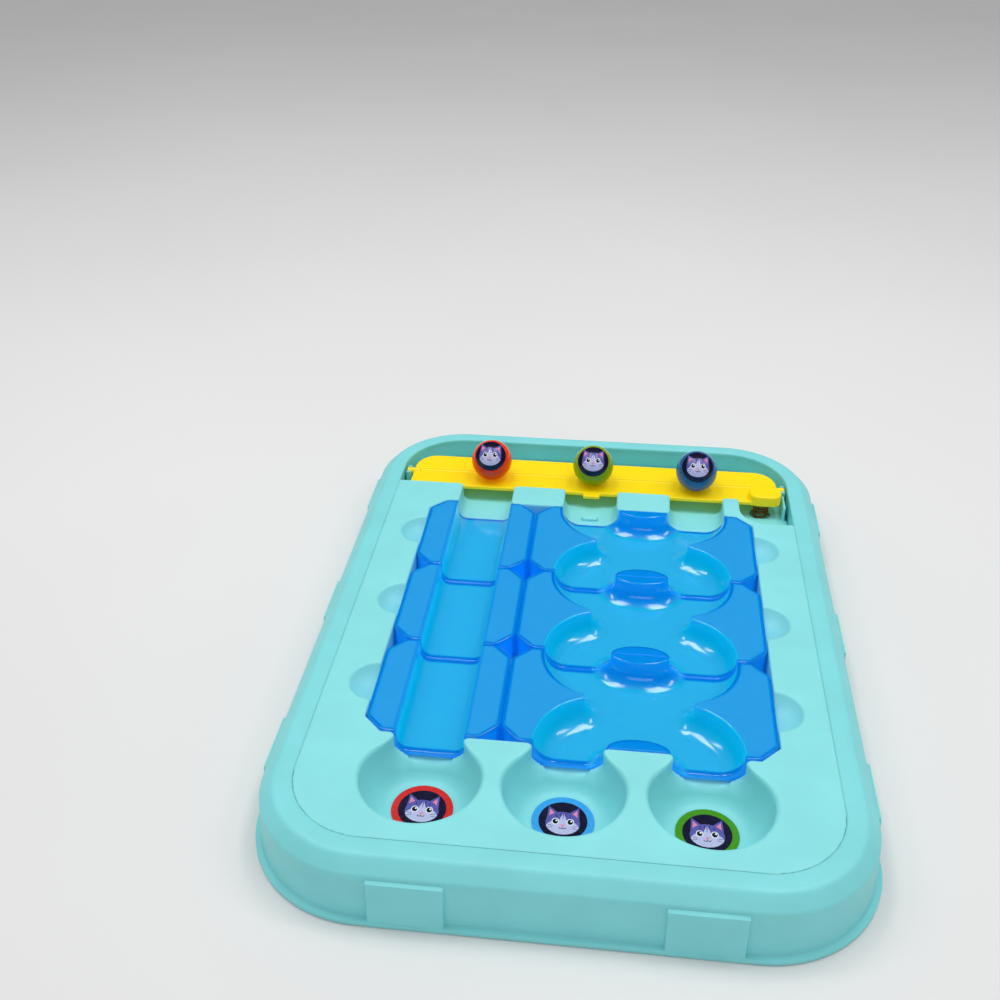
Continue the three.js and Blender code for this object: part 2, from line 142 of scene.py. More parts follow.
def box_field(x, y, z, low, high, r=0.0):
    """A block with its edges rounded."""
    mid = [(a + b) / 2 for a, b in zip(low, high)]
    half = [(b - a) / 2 - r for a, b in zip(low, high)]
    q = [np.abs(v - m) - h for v, m, h in zip((x, y, z), mid, half)]
    outside = np.sqrt(sum(np.maximum(v, 0) ** 2 for v in q))
    return outside + np.minimum(np.maximum(np.maximum(q[0], q[1]), q[2]), 0) - r


def gradient(field, p, step=0.02):
    """The field's slope at each point, from four probes on a tetrahedron."""
    probes = np.array([(1, -1, -1), (-1, -1, 1), (-1, 1, -1), (1, 1, 1)], float)
    slope = np.zeros_like(p)
    for k in probes:
        q = p + k * step
        slope += k * field(q[:, 0], q[:, 1], q[:, 2])[:, None]
    return slope / (4 * step)


# ---------- skinning a field ----------
CORNERS = np.array([(i, j, k) for i in (0, 1) for j in (0, 1) for k in (0, 1)])
CELL_EDGES = [(a, b) for a in range(8) for b in range(a + 1, 8)
              if np.abs(CORNERS[a] - CORNERS[b]).sum() == 1]


def skin(field, low, high, step):
    """Vertices and quads of the field's zero surface, by surface nets, pulled onto the true surface."""
    axes = [np.arange(a - 1.5 * step, b + 2.5 * step, step) for a, b in zip(low, high)]
    values = field(axes[0][:, None, None], axes[1][None, :, None], axes[2][None, None, :])
    values = np.ascontiguousarray(np.broadcast_to(values, [len(a) for a in axes]), np.float32)
    inside = values < 0
    cells = [n - 1 for n in values.shape]
    count = np.zeros(cells, np.int8)
    for i, j, k in CORNERS:
        count += inside[i:i + cells[0], j:j + cells[1], k:k + cells[2]]
    active = np.argwhere((count > 0) & (count < 8))
    number = np.full(cells, -1, np.int32)
    number[tuple(active.T)] = np.arange(len(active))
    at = [values[tuple((active + c).T)] for c in CORNERS]
    total = np.zeros((len(active), 3))
    hits = np.zeros(len(active))
    for a, b in CELL_EDGES:
        crossed = (at[a] < 0) != (at[b] < 0)
        gap = np.where(crossed, at[a] - at[b], 1.0)
        t = np.where(crossed, at[a] / gap, 0.0)
        point = CORNERS[a] + t[:, None] * (CORNERS[b] - CORNERS[a])
        total += np.where(crossed[:, None], point, 0.0)
        hits += crossed
    start = np.array([a[0] for a in axes])
    verts = start + (active + total / hits[:, None]) * step
    quads = []
    for axis in range(3):
        u, v = [(1, 2), (2, 0), (0, 1)][axis]
        first = np.take(inside, range(cells[axis]), axis)
        second = np.take(inside, range(1, cells[axis] + 1), axis)
        edge = np.argwhere(first != second)
        edge = edge[(edge[:, u] > 0) & (edge[:, v] > 0) & (edge[:, u] < cells[u]) & (edge[:, v] < cells[v])]
        du, dv = np.eye(3, dtype=int)[u], np.eye(3, dtype=int)[v]
        ring = [number[tuple((edge - off).T)] for off in (du + dv, dv, 0 * du, du)]
        quad = np.stack(ring, 1)
        outward = first[tuple(edge.T)]
        quad[~outward] = quad[~outward][:, ::-1]
        quads.append(quad)
    for _ in range(3):
        slope = gradient(field, verts)
        size = np.maximum((slope ** 2).sum(1), 0.25)
        move = field(verts[:, 0], verts[:, 1], verts[:, 2]) / size
        verts = verts - np.clip(move, -step, step)[:, None] * slope
    return verts, np.concatenate(quads)


def new_object(name, verts, faces):
    """A mesh object from vertices in millimetres and faces with a fixed number of corners."""
    mesh = bpy.data.meshes.new(name)
    faces = np.asarray(faces, np.int32)
    sides = faces.shape[1]
    mesh.vertices.add(len(verts))
    mesh.vertices.foreach_set("co", (np.asarray(verts) * MM).astype(np.float32).ravel())
    mesh.loops.add(faces.size)
    mesh.loops.foreach_set("vertex_index", faces.ravel())
    mesh.polygons.add(len(faces))
    mesh.polygons.foreach_set("loop_start", np.arange(0, faces.size, sides, dtype=np.int32))
    mesh.update(calc_edges=True)
    mesh.validate()
    piece = bpy.data.objects.new(name, mesh)
    bpy.context.scene.collection.objects.link(piece)
    return piece


def points_of(piece):
    """The mesh's vertices in millimetres."""
    co = np.zeros(len(piece.data.vertices) * 3, np.float32)
    piece.data.vertices.foreach_get("co", co)
    return co.reshape(-1, 3).astype(float) / MM


def thin_out(piece, ratio, spare=None):
    """Merges faces where the surface is flat, only among the spare vertices if they are given."""
    modifier = piece.modifiers.new("thin", "DECIMATE")
    modifier.ratio = ratio
    if spare is not None:
        group = piece.vertex_groups.new(name="spare")
        group.add(np.flatnonzero(spare).tolist(), 1.0, "REPLACE")
        modifier.vertex_group = "spare"
        modifier.vertex_group_factor = 1000.0
    depsgraph = bpy.context.evaluated_depsgraph_get()
    mesh = bpy.data.meshes.new_from_object(piece.evaluated_get(depsgraph))
    piece.modifiers.clear()
    piece.vertex_groups.clear()
    piece.data = mesh


def field_normals(piece, field):
    """Shades the mesh with the field's own normals."""
    slope = gradient(field, points_of(piece))
    size = np.maximum(np.linalg.norm(slope, axis=1), 1e-9)
    piece.data.polygons.foreach_set("use_smooth", np.ones(len(piece.data.polygons), bool))
    piece.data.normals_split_custom_set_from_vertices(slope / size[:, None])


def moulding(name, field, low, high, step, ratio=1.0, keep_top=False):
    """A skinned field, thinned out where it is flat, but not on its upper faces if keep_top is set."""
    verts, quads = skin(field, low, high, step)
    piece = new_object(name, verts, quads)
    if ratio < 1:
        spare = gradient(field, points_of(piece))[:, 2] < 0.2 if keep_top else None
        thin_out(piece, ratio, spare)
    field_normals(piece, field)
    return piece


# ---------- play deck ----------
POCKET_FLOOR = TILE_BOTTOM - GAP
POCKET_GAP = 0.1
CHANNEL_FILLET = 5.0
CUP_JOINT = 5.0
CUP_DRAW_IN = 0.22
CUP_OVERSHOOT = 0.8
BAY_MIDDLE, BAY_HALF, BAY_CORNER = (93.0, 90.0), (20.0, 17.45), 12.0
WELL_RADIUS, WELL_FLOOR = 4.7, TOP - 12.8
DIMPLE_X, DIMPLE_Z, DIMPLE_RADIUS = 77.8, TOP + 5.94, 12.5
BOSSES = ((-86, 120), (86, 120), (-89, 22), (89, 22), (-78, -122), (78, -122))
BOSS_BORE, BOSS_RADIUS, BOSS_FOOT = 1.7, 3.6, 4.3
FLANGE_LOW, FLANGE_HIGH = 8, 10
POST_NEAR, POST_FAR, POST_HALF = 94.8, 97.4, 3.5
PIN_SLOT = 1.8
RIB = ((95.2, 92.0, RECESS_FLOOR - 1), (96.4, 103.5, TOP - 3.2))
CLIP = ((-3.75, 80, CHANNEL_FLOOR - 1), (3.75, 83, CHANNEL_FLOOR + 1.7))


def chamfered_rect(x, y, half_x, half_y, corner, r=0.0):
    """A rectangle in plan with its corners cut at 45 degrees."""
    across, along = np.abs(x) - half_x, np.abs(y) - half_y
    slanted = (np.abs(x) + np.abs(y) - (half_x + half_y - corner)) / math.sqrt(2)
    if r == 0:
        return np.maximum(np.maximum(across, along), slanted)
    return round_max(round_max(across, slanted, r), along, r)


def cup_field(x, y, z, column):
    """A bowl with a flat round floor and a quarter-elliptic side, drawn in at the back under its neck."""
    height = np.clip((z - TOP + CUP_DEPTH) / CUP_DEPTH, 0, 1)
    along = np.where(y > CUP_Y, (y - CUP_Y) * (1 + CUP_DRAW_IN * height), y - CUP_Y)
    across = np.maximum(np.hypot(x - column, along) - CUP_FLOOR_RADIUS, 0) / (CUP_RIM - CUP_FLOOR_RADIUS)
    down = np.maximum(TOP + CUP_OVERSHOOT - z, 0) / (CUP_DEPTH + CUP_OVERSHOOT)
    mean_size = 11.0
    return (np.hypot(across, down) - 1) * mean_size


def sphere_field(x, y, z, centre, radius):
    cx, cy, cz = centre
    return np.sqrt((x - cx) ** 2 + (y - cy) ** 2 + (z - cz) ** 2) - radius


def deck_air(x, y, z):
    """The open space above the deck and in its hollows: negative in the air."""
    middle = (FIELD_BACK + FIELD_FRONT) / 2
    half_length = (FIELD_BACK - FIELD_FRONT) / 2 + POCKET_GAP
    pocket_plan = chamfered_rect(x, y - middle, FIELD_X + POCKET_GAP, half_length, TILE_CORNER)
    plan = pocket_plan
    for column in COLUMNS:
        side = np.abs(x - column) - CHANNEL_HALF
        plan = round_min(plan, round_max(side, span(y, CUP_Y + 8, RECESS_FRONT + 3), 1.0), 2.6)
    plan = round_min(plan, RECESS_FRONT - y, 2.2)
    run = round_max(plan, CHANNEL_FLOOR - z, CHANNEL_FILLET)
    pocket = round_max(pocket_plan, POCKET_FLOOR - z, 0.6)
    recess = round_max(np.maximum(RECESS_FRONT - y, y - LEDGE_Y), RECESS_FLOOR - z, 1.5)
    ledge = round_max(LEDGE_Y - 1 - y, LEDGE_Z - z, 0.6)
    bay = rounded_rect(x - BAY_MIDDLE[0], y - BAY_MIDDLE[1], *BAY_HALF, BAY_CORNER)
    bay = round_max(bay, RECESS_FLOOR - z, 2.0)
    well = np.maximum(np.hypot(x - SPRING_X, y - SPRING_Y) - WELL_RADIUS, WELL_FLOOR - z)
    air = np.minimum(round_min(round_min(run, recess, 1.0), bay, 1.5), np.minimum(pocket, well))
    air = round_min(air, ledge, 0.6)
    for column in COLUMNS:
        air = round_min(air, cup_field(x, y, z, column), CUP_JOINT)
    softer_at_cups = smooth_step(-y, 88, 98)
    air = round_min(air, TOP - z, 0.9 + 1.2 * softer_at_cups)
    for row in tile_rows:
        dimple = sphere_field(np.abs(x), y, z, (DIMPLE_X, row, DIMPLE_Z), DIMPLE_RADIUS)
        air = round_min(air, dimple, 0.8)
    return air


def cradle_field(x, y, z):
    """Posts with an open slot for the lever's pins, and the guide rib beside the thumb button."""
    low = (POST_NEAR, PIVOT_Y - POST_HALF, RECESS_FLOOR - 1)
    high = (POST_FAR, PIVOT_Y + POST_HALF, PIVOT_Z + 1.2)
    post = box_field(np.abs(x), y, z, low, high, 0.4)
    above_pin = np.maximum(np.abs(y - PIVOT_Y), PIVOT_Z - z)
    slot = np.minimum(np.hypot(y - PIVOT_Y, z - PIVOT_Z), above_pin) - PIN_SLOT
    posts = round_max(post, -slot, 0.3)
    return np.minimum(posts, box_field(x, y, z, *RIB, 0.3))


def deck_field(x, y, z):
    """The deck's skin, its rim and flange under the frame, its screw bosses, cradles and channel clip."""
    air = deck_air(x, y, z)
    edge = seam_distance(x, y)
    shell = round_max(np.maximum(-air, air - WALL), edge + GAP, 0.12)
    rim = np.maximum(span(edge, -GAP - WALL, -GAP), span(z, FLANGE_LOW, TOP - 1))
    flange = np.maximum(span(edge, -GAP - 2, WALL - GAP), span(z, FLANGE_LOW, FLANGE_HIGH))
    body = np.minimum(shell, np.minimum(rim, flange))
    for bx, by in BOSSES:
        boss = np.hypot(x - bx, y - by)
        body = np.minimum(body, np.maximum(span(boss, BOSS_BORE, BOSS_RADIUS), span(z, BOSS_FOOT, TOP - 1)))
    body = np.maximum(body, -air)
    clip = box_field(x, y, z, *CLIP, 0.35)
    added = np.maximum(np.minimum(cradle_field(x, y, z), clip), edge + GAP)
    return round_min(body, added, 0.4)


def make_deck():
    return moulding("deck_moulding", deck_field, (-98, -138, 4), (98, 138, TOP), 0.8, 0.35)


# ---------- maze tiles ----------
# A tile's u runs across it and v along it, from its middle.
TROUGH_HALF = 13.0
TROUGH_FILLET, BANK_FILLET, ISLAND_FILLET = 4.6, 9.0, 6.0
TOP_EDGE = 0.7
PLAN_CORNER = 1.8
ISLAND_HALF, ISLAND_LEAN = (11.9, 5.7), (2.2, 1.8)


def straight_air(u, v, z):
    """One straight channel along the tile."""
    trough = round_max(np.abs(u) - TROUGH_HALF + 0 * v, TILE_FLOOR - z, TROUGH_FILLET)
    return round_min(trough, TOP - z, TOP_EDGE)


def bank_distance(u, v):
    """Plan distance from a crossing tile's left and right banks, positive over its channels.

    Each bank is two arcs that meet in a small round tip half way along the tile."""
    arc_u, arc_v, radius, tip_u, tip = 13.5, ROW_PITCH / 2 - 1.5, 25.5, 22.775, 1.775
    left, along = -np.abs(u), np.abs(v)
    from_arcs = radius - np.hypot(left + arc_u, np.minimum(along - arc_v, 0))
    from_tip = np.hypot(left + tip_u, along) - tip
    beside_tip = along < (left + tip_u) * (arc_v / (tip_u - arc_u))
    return np.where(beside_tip, from_tip, from_arcs)


def island_distance(u, v, z):
    """Distance from the oval islands on a crossing tile's front and back edges. Their sides lean in."""
    lean = np.clip((TOP - z) / (TOP - TILE_FLOOR), 0, 1) ** 2
    half_u, half_v = ISLAND_HALF[0] + ISLAND_LEAN[0] * lean, ISLAND_HALF[1] + ISLAND_LEAN[1] * lean
    du, dv = u, np.abs(v) - ROW_PITCH / 2
    ring = np.hypot(du / half_u, dv / half_v) + 1e-6
    return ring * (ring - 1) / (np.hypot(du / half_u ** 2, dv / half_v ** 2) + 1e-6)


def cross_air(u, v, z):
    """Two channels that cross between the banks and the half islands."""
    trough = round_max(-bank_distance(u, v), TILE_FLOOR - z, BANK_FILLET)
    trough = round_max(trough, -island_distance(u, v, z), ISLAND_FILLET)
    return round_min(trough, TOP - z, TOP_EDGE)


def tile_field(width, air_field):
    """A hollow tile, open below: its outside, less the space under its even wall."""
    half_x = width / 2 - TILE_JOINT / 2
    half_y = ROW_PITCH / 2 - TILE_JOINT / 2

    def field(u, v, z):
        air = air_field(u, v, z)
        plan = chamfered_rect(u, v, half_x, half_y, TILE_CORNER, PLAN_CORNER)
        outside = round_max(round_max(plan, -air, 0.6), TILE_BOTTOM - z, 0.4)
        hollow = round_max(plan + TILE_WALL, TILE_WALL - air, 1.0)
        return np.maximum(outside, -hollow)

    return field


def store(piece, name, values):
    layer = piece.data.attributes.new(name, "FLOAT", "POINT")
    layer.data.foreach_set("value", np.clip(values, 0, 1).astype(np.float32))


def tile_depth_and_shade(piece, width, air_field):
    """Stores a colour depth from 0 on floors to 1 at outlines: partly the deeper colour where more plastic
    shows, partly painted shade, deeper on tops than floors, on edges facing away from the front and where
    tiles meet; and a painted glow for the upright walls, in place of the light they carry down from the top."""
    mesh = piece.data
    u, v, z = points_of(piece).T
    normal = np.zeros(len(mesh.vertices) * 3, np.float32)
    mesh.vertex_normals.foreach_get("vector", normal)
    up = np.clip(normal.reshape(-1, 3)[:, 2], 0, 1)
    level = smooth_step(z, TILE_FLOOR + 0.5, TOP - 1.5)
    half_x, half_y = width / 2 - TILE_JOINT / 2, ROW_PITCH / 2 - TILE_JOINT / 2
    inset = -chamfered_rect(u, v, half_x, half_y, TILE_CORNER)
    if air_field is cross_air:
        island = 1 - smooth_step(island_distance(u, v, z), 0.8, 6.0)
        brink = np.minimum(bank_distance(u, v), island_distance(u, v, z))
        on_bank = island_distance(u, v, z) > 2
        turned_away = np.clip(v / 10, -1, 1) * np.where(on_bank, 1, -1)
    else:
        island = 0 * u
        brink = TROUGH_HALF - np.abs(u)
        turned_away = 0 * u + 0.4
    # Painted shade, with some real depth of colour: tops high up are deeper than floors, walls a little
    # deeper, islands deeper still.
    depth_and_shade = 0.5 * level * smooth_step(up, 0.9, 1.0) + 0.25 * smooth_step(1 - up, 0.0, 0.4)
    depth_and_shade = np.maximum(depth_and_shade, 0.75 * island)
    # Outlines along the brinks: partly the deeper colour of plastic seen edge-on, partly painted shade,
    # strongest on edges facing away from the front.
    outline = (1 - smooth_step(np.abs(brink), 1.0, 2.4)) * smooth_step(z, TOP - 3.0, TOP - 1.0)
    depth_and_shade = np.maximum(depth_and_shade, 0.95 * outline * np.clip(0.5 + 0.5 * turned_away, 0, 1))
    # Painted shade: a deeper band round each tile where it meets the next one, wider near the floor.
    low = 1 - smooth_step(z, TILE_FLOOR + 3, TILE_FLOOR + 7)
    rim = 1 - smooth_step(inset - 0.6 * low, 1.1, 2.3)
    depth_and_shade = np.maximum(depth_and_shade, 0.9 * rim * (1 - island))
    store(piece, "depth_and_shade", depth_and_shade)
    # Painted glow: the upright walls, most of all the outer walls between tiles, emit the tile's colour
    # though it is no lamp.
    outer_wall = (1 - smooth_step(inset, 0.2, 0.6)) * (1 - smooth_step(z, TOP - 1.5, TOP - 0.5))
    between_tiles = outer_wall * (np.abs(u) < width / 2 - 1.5)
    store(piece, "painted_glow", (0.24 + 0.2 * between_tiles) * (1 - up))


def make_tile(kind, width, air_field):
    half, reach = width / 2, ROW_PITCH / 2
    low, high = (-half, -reach, TILE_BOTTOM), (half, reach, TOP)
    field = tile_field(width, air_field)
    return moulding(f"{kind}_tile_moulding", field, low, high, 0.5, 0.55, keep_top=True)


# ---------- case frame ----------
def rounded_path(points, steps=5):
    """A closed outline of [x, y, radius] corners, with each corner turned into an arc."""
    out = []
    for i, (x, y, r) in enumerate(points):
        here = np.array((x, y), float)
        before = np.array(points[i - 1][:2], float) - here
        after = np.array(points[(i + 1) % len(points)][:2], float) - here
        before /= np.linalg.norm(before)
        after /= np.linalg.norm(after)
        half = math.acos(float(np.clip(before @ after, -1, 1))) / 2
        if r == 0 or half > 1.55:
            out.append(tuple(here))
            continue
        reach = r / math.tan(half)
        centre = here + (before + after) / np.linalg.norm(before + after) * (r / math.sin(half))
        start, end = here + before * reach - centre, here + after * reach - centre
        a0 = math.atan2(start[1], start[0])
        turn = math.atan2(start[0] * end[1] - start[1] * end[0], float(start @ end))
        angles = [a0 + turn * k / steps for k in range(steps + 1)]
        out += [tuple(centre + r * np.array((math.cos(a), math.sin(a)))) for a in angles]
    return out


PADS_X, PADS_Y = (-50, 50), (-90, 0, 90)
PAD_FLANK = 0.6
CORNER_STEPS = 32
TAB_HALF = 13.0
TAB_TOP = 19.5
TAB_PROUD = 1.5
FOOT = 13.2
SKIRT_TOP = 12.0
FRAME_SECTION = rounded_path([
    (-0.27, TOP - 0.25, 0), (0, TOP - 0.22, 0), (0, TOP, 0.12), (7, TOP, 3.5), (SKIRT_TOP, TOP - 5, 2.4),
    (SKIRT_TOP + 0.12, TAB_TOP + 0.2, 0), (SKIRT_TOP + 0.16, TAB_TOP - 0.4, 0),
    (FOOT - 0.2, 5.0, 0), (FOOT, 2.0, 0.8),
    (LIP_REACH, 1.9, 0.55), (LIP_REACH, 0, 0.4), (11.2, 0, 0.3), (10, 20, 1.5), (6, 24, 1.0), (2, 24, 0.8),
    (2, 10.3, 0.3), (0, 10.3, 0.3), (0, TOP - 1.8, 0), (-0.26, TOP - 1.5, 0)])


def pad_share(along):
    """1 on a clip pad and 0 off it, with a steep flank: along is the distance from the pad's middle."""
    return np.clip((TAB_HALF + PAD_FLANK - np.abs(along)) / PAD_FLANK, 0, 1)


def frame_perimeter():
    """Points round the seam as (x, y, outward x, outward y, pad share), anticlockwise from the right side."""
    straight_x, straight_y = SEAM_X - SEAM_RADIUS, SEAM_Y - SEAM_RADIUS
    half_steps = (TAB_HALF / 2, TAB_HALF, TAB_HALF + PAD_FLANK / 2, TAB_HALF + PAD_FLANK)
    steps = [-s for s in reversed(half_steps)] + [0, *half_steps]
    along_x = sorted(c + s for c in PADS_X for s in steps)
    along_y = sorted(c + s for c in PADS_Y for s in steps)
    rows = []
    for turn in range(4):
        angle = turn * math.pi / 2
        out = np.array((math.cos(angle), math.sin(angle)))
        side = np.array((-out[1], out[0]))
        long_side = turn % 2 == 0
        depth, length = (SEAM_X, straight_y) if long_side else (SEAM_Y, straight_x)
        centres = PADS_Y if long_side else PADS_X
        for s in [v for v in (along_y if long_side else along_x) if abs(v) < length]:
            share = max(float(pad_share(s - c)) for c in centres)
            rows.append((*(out * depth + side * s), *out, share))
        corner = out * (depth - SEAM_RADIUS) + side * length
        for k in range(CORNER_STEPS + 1):
            a = angle + math.pi / 2 * k / CORNER_STEPS
            n = np.array((math.cos(a), math.sin(a)))
            s = length + SEAM_RADIUS * math.radians(90) * k / CORNER_STEPS
            share = max(float(pad_share(s - c)) for c in centres)
            rows.append((*(corner + n * SEAM_RADIUS), *n, share))
    return np.array(rows)


def pad_reach(offset, z, share):
    """How far the section's outer face moves out on a clip pad."""
    flare = np.clip((TAB_TOP - z) / TAB_TOP, 0, 1) ** 2
    target = SKIRT_TOP + TAB_PROUD + (LIP_REACH - SKIRT_TOP - TAB_PROUD) * flare
    outer_face = (offset > SKIRT_TOP) & (z < TAB_TOP)
    return np.where(outer_face, np.maximum(target - offset, 0) * share, 0.0)


def make_frame():
    """The frame's section swept round the seam."""
    section = np.array(FRAME_SECTION)
    path = frame_perimeter()
    offset, z = section[None, :, 0], section[None, :, 1]
    reach = offset + pad_reach(offset, z, path[:, 4:5])
    x = path[:, 0:1] + path[:, 2:3] * reach
    y = path[:, 1:2] + path[:, 3:4] * reach
    verts = np.stack([x, y, np.broadcast_to(z, x.shape)], -1)
    rings, around = x.shape
    i, j = np.meshgrid(np.arange(rings), np.arange(around), indexing="ij")
    a = i * around + j
    b = ((i + 1) % rings) * around + j
    c = ((i + 1) % rings) * around + (j + 1) % around
    d = i * around + (j + 1) % around
    faces = np.stack([a, b, c, d], -1).reshape(-1, 4)[:, ::-1]
    piece = new_object("frame_moulding", verts.reshape(-1, 3), faces)
    return smooth_by_angle(piece, 35)


def smooth_by_angle(piece, degrees):
    mesh = piece.data
    mesh.polygons.foreach_set("use_smooth", np.ones(len(mesh.polygons), bool))
    mesh.set_sharp_from_angle(angle=math.radians(degrees))
    return piece


# ---------- release lever and legs ----------
LEVER_HALF = 93.4
LEVER_FRONT = 95.3
LEVER_CREASE = 110.5
LEVER_THICK = 2.0
PIN_RADIUS = 1.5
PIN_NEAR, PIN_FAR = 90, 97.0
FRONT_DROP, FRONT_FALL = 2.8, 0.055
BACK_DROP, BACK_RISE = 3.64, 0.078
LEVER_Y, LEVER_DEPTH_HALF, LEVER_CORNER = 109.6, 14.4, 11.0
NOSE_Y, NOSE_HALF, NOSE_CORNER = 102.8, 7.5, 1.4
RIDGE_HALF, RIDGE_RISE = 0.5, 0.35
LEVER_TAB = ((-4.2, 92.3, TOP - 4.8), (4.2, 97, TOP - 3.0))
BUTTON_X, BUTTON_Y = 86.4, 100
BUTTON_HALF, BUTTON_CORNER = (7.9, 6.0), 5.2
LEG_LENGTH, LEG_HALF, LEG_CORNER = 64.0, 11.0, 7.5
LEG_LOW, LEG_HIGH = 0.6, 5.1
LEG_SQUARE_PART = 20
LEG_HINGE_Y, LEG_HINGE_Z = 115.0, 3.1
LEG_BARREL, LEG_PIN_LENGTH = 2.5, 2.3
LEG_POCKET_V, LEG_POCKET_HALF, LEG_POCKET_TOP = 33, (LEG_HALF - 3, 24), 2.2


def lever_field(x, y, z):
    """A shallow V-shaped plate with a ridged crease, a front tab, end pins, a thumb button and ball seats."""
    front_top = TOP - FRONT_DROP - (y - LEVER_FRONT) * FRONT_FALL
    back_top = TOP - BACK_DROP + (y - LEVER_CREASE) * BACK_RISE
    top = np.where(y < LEVER_CREASE, front_top, back_top)
    plan = rounded_rect(x, y - LEVER_Y, LEVER_HALF, LEVER_DEPTH_HALF, LEVER_CORNER)
    nose = np.maximum(rounded_rect(x, y - NOSE_Y, LEVER_HALF, NOSE_HALF, NOSE_CORNER), y - 110)
    plate = round_max(np.minimum(plan, nose), span(z, top - LEVER_THICK, top), 0.55)
    ridge_height = np.maximum(z - top - RIDGE_RISE, top - 1 - z)
    ridge = round_max(np.abs(y - LEVER_CREASE) - RIDGE_HALF, ridge_height, 0.25)
    plate = round_min(plate, np.maximum(ridge, np.abs(x) - PIN_NEAR), 0.4)
    plate = round_min(plate, box_field(x, y, z, *LEVER_TAB, 0.5), 0.4)
    pins = np.maximum(np.hypot(y - PIVOT_Y, z - PIVOT_Z) - PIN_RADIUS, span(np.abs(x), PIN_NEAR, PIN_FAR))
    plate = round_min(plate, pins, 0.4)
    button_plan = rounded_rect(x - BUTTON_X, y - BUTTON_Y, *BUTTON_HALF, BUTTON_CORNER)
    button = round_max(button_plan, span(z, TOP - 4.7, TOP + 1), 0.9)
    plate = round_min(plate, button, 0.8)
    for column in COLUMNS:
        seat = sphere_field(x, y, z, (column, BALL_Y, BALL_Z), BALL_RADIUS + GAP)
        plate = round_max(plate, -seat, 0.35)
    return plate


def make_lever():
    return moulding("lever_moulding", lever_field, (-PIN_FAR, 92, 19), (PIN_FAR, 124.5, TOP + 1), 0.5, 0.6)


def leg_field(u, v, z):
    """A leg folded flat: u from its middle, v from the hinge axis, z above the table."""
    plan = rounded_rect(u, v + LEG_LENGTH / 2, LEG_HALF, LEG_LENGTH / 2, LEG_CORNER)
    square = box_field(u, v, z, (-LEG_HALF, -LEG_SQUARE_PART, LEG_LOW), (LEG_HALF, 0, LEG_HIGH), 0.4)
    plate = round_max(plan, span(z, LEG_LOW, LEG_HIGH), 0.7)
    from_axis = np.hypot(v, z - LEG_HINGE_Z)
    barrel = round_max(from_axis - LEG_BARREL, np.abs(u) - LEG_HALF, 0.4)
    pins = round_max(from_axis - PIN_RADIUS, np.abs(u) - LEG_HALF - LEG_PIN_LENGTH, 0.3)
    pocket = round_max(rounded_rect(u, v + LEG_POCKET_V, *LEG_POCKET_HALF, 4), LEG_POCKET_TOP - z, 0.5)
    return round_max(np.minimum(np.minimum(plate, square), np.minimum(barrel, pins)), -pocket, 0.4)


def make_leg(side):
    box_low, box_high = (-13.5, -LEG_LENGTH, 0.5), (13.5, 2.6, 5.7)
    piece = moulding(f"leg_moulding_{side}", leg_field, box_low, box_high, 0.5, 0.6)
    low, high = node_box(f"leg_{side}")
    move = Matrix.Translation(Vector(((low[0] + high[0]) / 2, LEG_HINGE_Y, 0)) * MM)
    piece.data.transform(move)
    return piece


# ---------- coil spring ----------
def make_spring():
    """A round wire wound in a helix, with a nearly flat half turn at each end."""
    low, high = node_box("return_spring")
    wire, turns, around, steps = 0.5, 4.0, 12, 220
    flat_end, flat_rise = 0.12, 0.12
    radius = float(high[0] - low[0]) / 2 - wire - 0.15
    foot, head = float(low[2]) + wire, float(high[2]) - wire
    t = np.linspace(0, 1, steps + 1)
    angle = 2 * math.pi * turns * t
    rise = np.clip((t - flat_end) / (1 - 2 * flat_end), 0, 1)
    height = foot + (head - foot) * (flat_rise * t + (1 - flat_rise) * rise)
    centre = np.stack([SPRING_X + radius * np.cos(angle), SPRING_Y + radius * np.sin(angle), height], 1)
    out = np.stack([np.cos(angle), np.sin(angle), 0 * angle], 1)
    phase = np.linspace(0, 2 * math.pi, around, endpoint=False)
    up = np.array((0, 0, 1.0))
    sideways = np.cos(phase)[None, :, None] * out[:, None]
    upwards = np.sin(phase)[None, :, None] * up
    verts = centre[:, None] + wire * (sideways + upwards)
    i, j = np.meshgrid(np.arange(steps), np.arange(around), indexing="ij")
    a, b = i * around + j, i * around + (j + 1) % around
    faces = np.stack([a, b, b + around, a + around], -1).reshape(-1, 4)
    ends = np.array([centre[0], centre[-1]])
    verts = np.concatenate([verts.reshape(-1, 3), ends])
    first, last = (steps + 1) * around, (steps + 1) * around + 1
    k = np.arange(around)
    n = (k + 1) % around
    caps = [np.stack([k, n, np.full(around, first)], 1)[:, ::-1],
            np.stack([k, n, np.full(around, last)], 1) + [steps * around, steps * around, 0]]
    piece = bpy.data.objects.new("spring_coil", bpy.data.meshes.new("spring_coil"))
    piece.data.from_pydata((verts * MM).tolist(), [], faces.tolist() + np.concatenate(caps).tolist())
    bpy.context.scene.collection.objects.link(piece)
    fix_outward(piece)
    return smooth_by_angle(piece, 50)


def fix_outward(piece):
    """Turns every face outwards."""
    bm = bmesh.new()
    bm.from_mesh(piece.data)
    bmesh.ops.recalc_face_normals(bm, faces=bm.faces)
    bm.to_mesh(piece.data)
    bm.free()


# ---------- printed cat face ----------
def linear(r, g, b):
    """A colour of 0 to 255 per channel, as linear light."""
    return tuple(((v / 255 + 0.055) / 1.055) ** 2.4 if v > 10 else v / 255 / 12.92 for v in (r, g, b))


NAVY = linear(24, 22, 52)
FUR = linear(96, 92, 170)
PALE_FUR = linear(196, 194, 232)
PINK = linear(232, 140, 176)
INK = linear(14, 13, 24)
WHITE = linear(244, 246, 252)
STRIPE = linear(66, 62, 134)
HEAD_SHARE = 0.92


